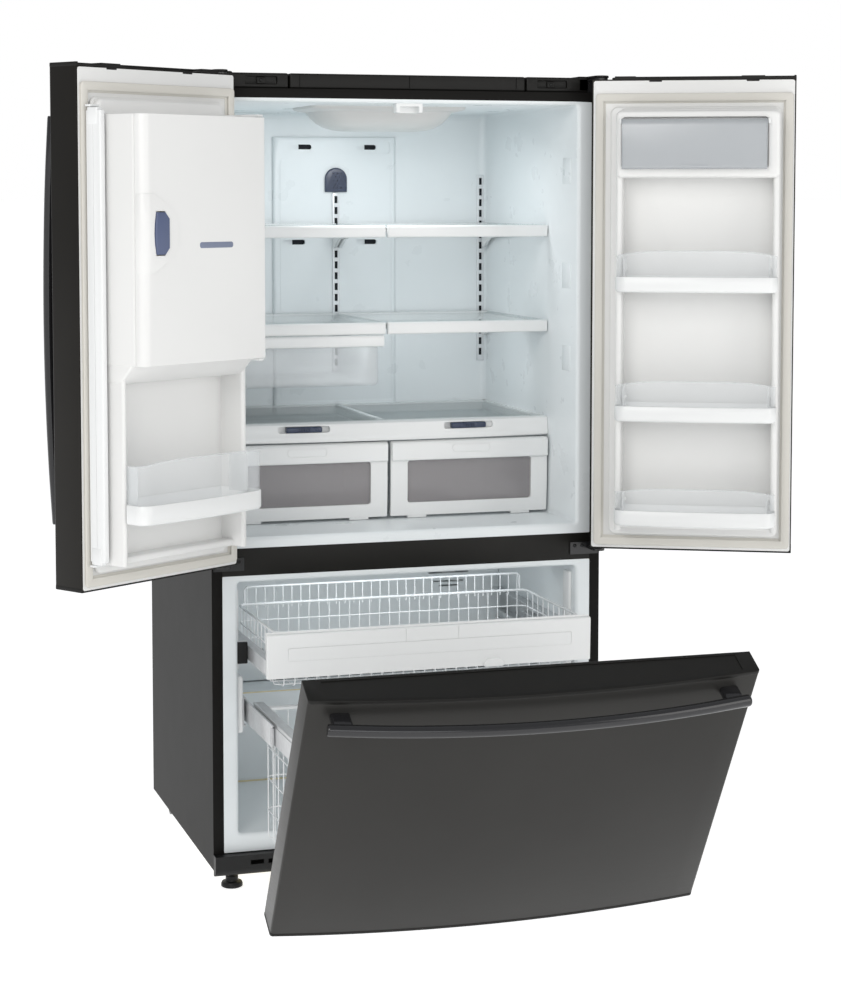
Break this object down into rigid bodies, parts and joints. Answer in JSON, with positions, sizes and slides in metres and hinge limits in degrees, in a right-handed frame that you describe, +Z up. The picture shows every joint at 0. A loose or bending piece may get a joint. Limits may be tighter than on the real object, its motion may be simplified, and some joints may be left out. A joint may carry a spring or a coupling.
{
  "type": "french door refrigerator",
  "caption": "Free-standing refrigerator with side-hinged doors over a pull-out freezer with a tilting front; ice and water dispenser, shelves, crispers and bins.",
  "frame": {"origin": "on the floor, under the middle of the object's outline with its doors and drawers as stored", "axes": "+X to the right as seen from the front, +Y towards the back, +Z up"},
  "size_m": [1.6833, 1.6503, 1.801],
  "materials": {
    "dark_paint": "satin",
    "dark_handle": "gloss",
    "black_plastic": "matte",
    "dark_steel": "satin",
    "galvanised_steel": "satin",
    "insulating_foam": "matte",
    "foamed_panel": "satin",
    "white_liner": "satin",
    "white_plastic": "satin",
    "white_wire": "gloss",
    "clear_plastic": "gloss",
    "shelf_glass": "polished",
    "lamp_diffuser": "satin",
    "blue_plastic": "gloss",
    "gasket_rubber": "matte",
    "dispenser_plastic": "gloss",
    "fin_aluminium": "satin",
    "roller_plastic": "matte"
  },
  "bodies": {
    "cabinet": {"cabinet_shell": "dark_paint", "foam_walls": "insulating_foam", "fresh_food_liner": "white_liner", "freezer_liner": "white_liner", "mullion_rail": "dark_paint", "top_covers": "black_plastic", "door_hinges": "dark_steel", "base_grille": "black_plastic", "base_frame": "galvanised_steel", "compressor": "dark_steel", "condenser": "fin_aluminium", "rear_cover": "galvanised_steel", "water_valve": "white_plastic", "cord_inlet": "black_plastic", "evaporator": "fin_aluminium", "evaporator_cover": "white_liner", "air_duct": "white_liner", "air_filter": "blue_plastic", "shelf_tracks": "galvanised_steel", "lamp_cover": "lamp_diffuser", "shelf_frames": "white_plastic", "shelf_glass": "shelf_glass", "rail_outers": "galvanised_steel"},
    "condenser_fan": {"condenser_fan": "black_plastic"},
    "evaporator_fan": {"evaporator_fan": "white_plastic"},
    "front_foot_left": {"front_foot_left": "black_plastic"},
    "front_foot_right": {"front_foot_right": "black_plastic"},
    "rear_rollers": {"rear_rollers": "roller_plastic"},
    "crisper_left": {"crisper_left": "clear_plastic"},
    "crisper_right": {"crisper_right": "clear_plastic"},
    "humidity_slider_left": {"humidity_slider_left": "blue_plastic"},
    "humidity_slider_right": {"humidity_slider_right": "blue_plastic"},
    "snack_pan": {"snack_pan": "clear_plastic"},
    "freezer_drawer": {"drawer_frame": "galvanised_steel", "main_basket": "white_wire"},
    "rail_middles": {"rail_middles": "galvanised_steel"},
    "upper_drawer": {"upper_basket": "white_wire", "upper_drawer_front": "white_plastic"},
    "freezer_front": {"freezer_skin": "dark_paint", "freezer_panel": "foamed_panel", "freezer_gasket": "gasket_rubber", "freezer_handle": "dark_handle"},
    "left_door": {"left_skin": "dark_paint", "left_liner": "foamed_panel", "left_gasket": "gasket_rubber", "left_handle": "dark_handle", "dispenser_housing": "dispenser_plastic", "ice_bin": "clear_plastic", "ice_maker": "white_plastic", "left_bin": "white_plastic"},
    "ice_door": {"ice_door": "white_plastic"},
    "ice_latch": {"ice_latch": "blue_plastic"},
    "dispenser_paddle": {"dispenser_paddle": "dispenser_plastic"},
    "mullion_flap": {"mullion_flap": "white_plastic"},
    "right_door": {"right_skin": "dark_paint", "right_liner": "foamed_panel", "right_gasket": "gasket_rubber", "right_handle": "dark_handle", "right_bins": "white_plastic"},
    "dairy_cover": {"dairy_cover": "clear_plastic"}
  },
  "joints": [
    {"name": "left_door_swing", "type": "hinge", "parent": "cabinet", "child": "left_door", "pos_m": [-0.4368, 0.0447, 1], "axis": [0, 0, -1], "range_deg": [-146.3, 8.7]},
    {"name": "right_door_swing", "type": "hinge", "parent": "cabinet", "child": "right_door", "pos_m": [0.4368, 0.0447, 1], "axis": [0, 0, 1], "range_deg": [-153.4, 1.6]},
    {"name": "mullion_flap_fold", "type": "hinge", "parent": "left_door", "child": "mullion_flap", "pos_m": [-0.75704, -0.22452, 1.243], "axis": [0, 0, 1], "range_deg": [-90, 0]},
    {"name": "ice_door_swing", "type": "hinge", "parent": "left_door", "child": "ice_door", "pos_m": [-0.39345, -0.12628, 1.444], "axis": [0, 0, 1], "range_deg": [0, 100]},
    {"name": "ice_latch_press", "type": "slide", "parent": "ice_door", "child": "ice_latch", "axis": [-0.5548, 0.832, 0], "range_m": [0, 0.004], "stiffness_N_per_m": 400},
    {"name": "dispenser_paddle_press", "type": "hinge", "parent": "left_door", "child": "dispenser_paddle", "pos_m": [-0.61312, -0.06364, 1.423], "axis": [-0.832, -0.5548, 0], "range_deg": [0, 5], "stiffness_Nm_per_rad": 1},
    {"name": "dairy_cover_lift", "type": "hinge", "parent": "right_door", "child": "dairy_cover", "pos_m": [0.56649, -0.18051, 1.694], "axis": [-0.8942, 0.4478, 0], "range_deg": [0, 80]},
    {"name": "freezer_drawer_slide", "type": "slide", "parent": "cabinet", "child": "freezer_drawer", "axis": [0, -1, 0], "range_m": [-0.495, 0]},
    {"name": "freezer_front_tilt", "type": "hinge", "parent": "freezer_drawer", "child": "freezer_front", "pos_m": [0, -0.416, 0.138], "axis": [1, 0, 0], "range_deg": [-30.3, 0]},
    {"name": "rail_middles_slide", "type": "slide", "parent": "cabinet", "child": "rail_middles", "axis": [0, -1, 0], "range_m": [-0.2475, 0]},
    {"name": "upper_drawer_slide", "type": "slide", "parent": "cabinet", "child": "upper_drawer", "axis": [0, -1, 0], "range_m": [-0.192, 0]},
    {"name": "crisper_left_slide", "type": "slide", "parent": "cabinet", "child": "crisper_left", "axis": [0, -1, 0], "range_m": [0, 0.32]},
    {"name": "crisper_right_slide", "type": "slide", "parent": "cabinet", "child": "crisper_right", "axis": [0, -1, 0], "range_m": [0, 0.32]},
    {"name": "snack_pan_slide", "type": "slide", "parent": "cabinet", "child": "snack_pan", "axis": [0, -1, 0], "range_m": [0, 0.25]},
    {"name": "humidity_left_slide", "type": "slide", "parent": "cabinet", "child": "humidity_slider_left", "axis": [1, 0, 0], "range_m": [-0.016, 0.016]},
    {"name": "humidity_right_slide", "type": "slide", "parent": "cabinet", "child": "humidity_slider_right", "axis": [1, 0, 0], "range_m": [-0.016, 0.016]},
    {"name": "condenser_fan_spin", "type": "hinge", "parent": "cabinet", "child": "condenser_fan", "pos_m": [0.212, 0.665, 0.143], "axis": [1, 0, 0], "continuous": true},
    {"name": "evaporator_fan_spin", "type": "hinge", "parent": "cabinet", "child": "evaporator_fan", "pos_m": [0.262, 0.629, 0.6], "axis": [0, 1, 0], "continuous": true},
    {"name": "front_foot_left_turn", "type": "hinge", "parent": "cabinet", "child": "front_foot_left", "pos_m": [-0.407, 0.111, 0], "axis": [0, 0, 1], "continuous": true},
    {"name": "front_foot_right_turn", "type": "hinge", "parent": "cabinet", "child": "front_foot_right", "pos_m": [0.407, 0.111, 0], "axis": [0, 0, 1], "continuous": true},
    {"name": "rear_rollers_roll", "type": "hinge", "parent": "cabinet", "child": "rear_rollers", "pos_m": [0, 0.733, 0.024], "axis": [1, 0, 0], "continuous": true}
  ],
  "couplings": [
    {"joint": "freezer_front_tilt", "follows": "freezer_drawer_slide", "rad_per_m": 1.0682},
    {"joint": "rail_middles_slide", "follows": "freezer_drawer_slide", "ratio": 0.5},
    {"joint": "upper_drawer_slide", "follows": "freezer_drawer_slide", "ratio": 0.38788}
  ]
}
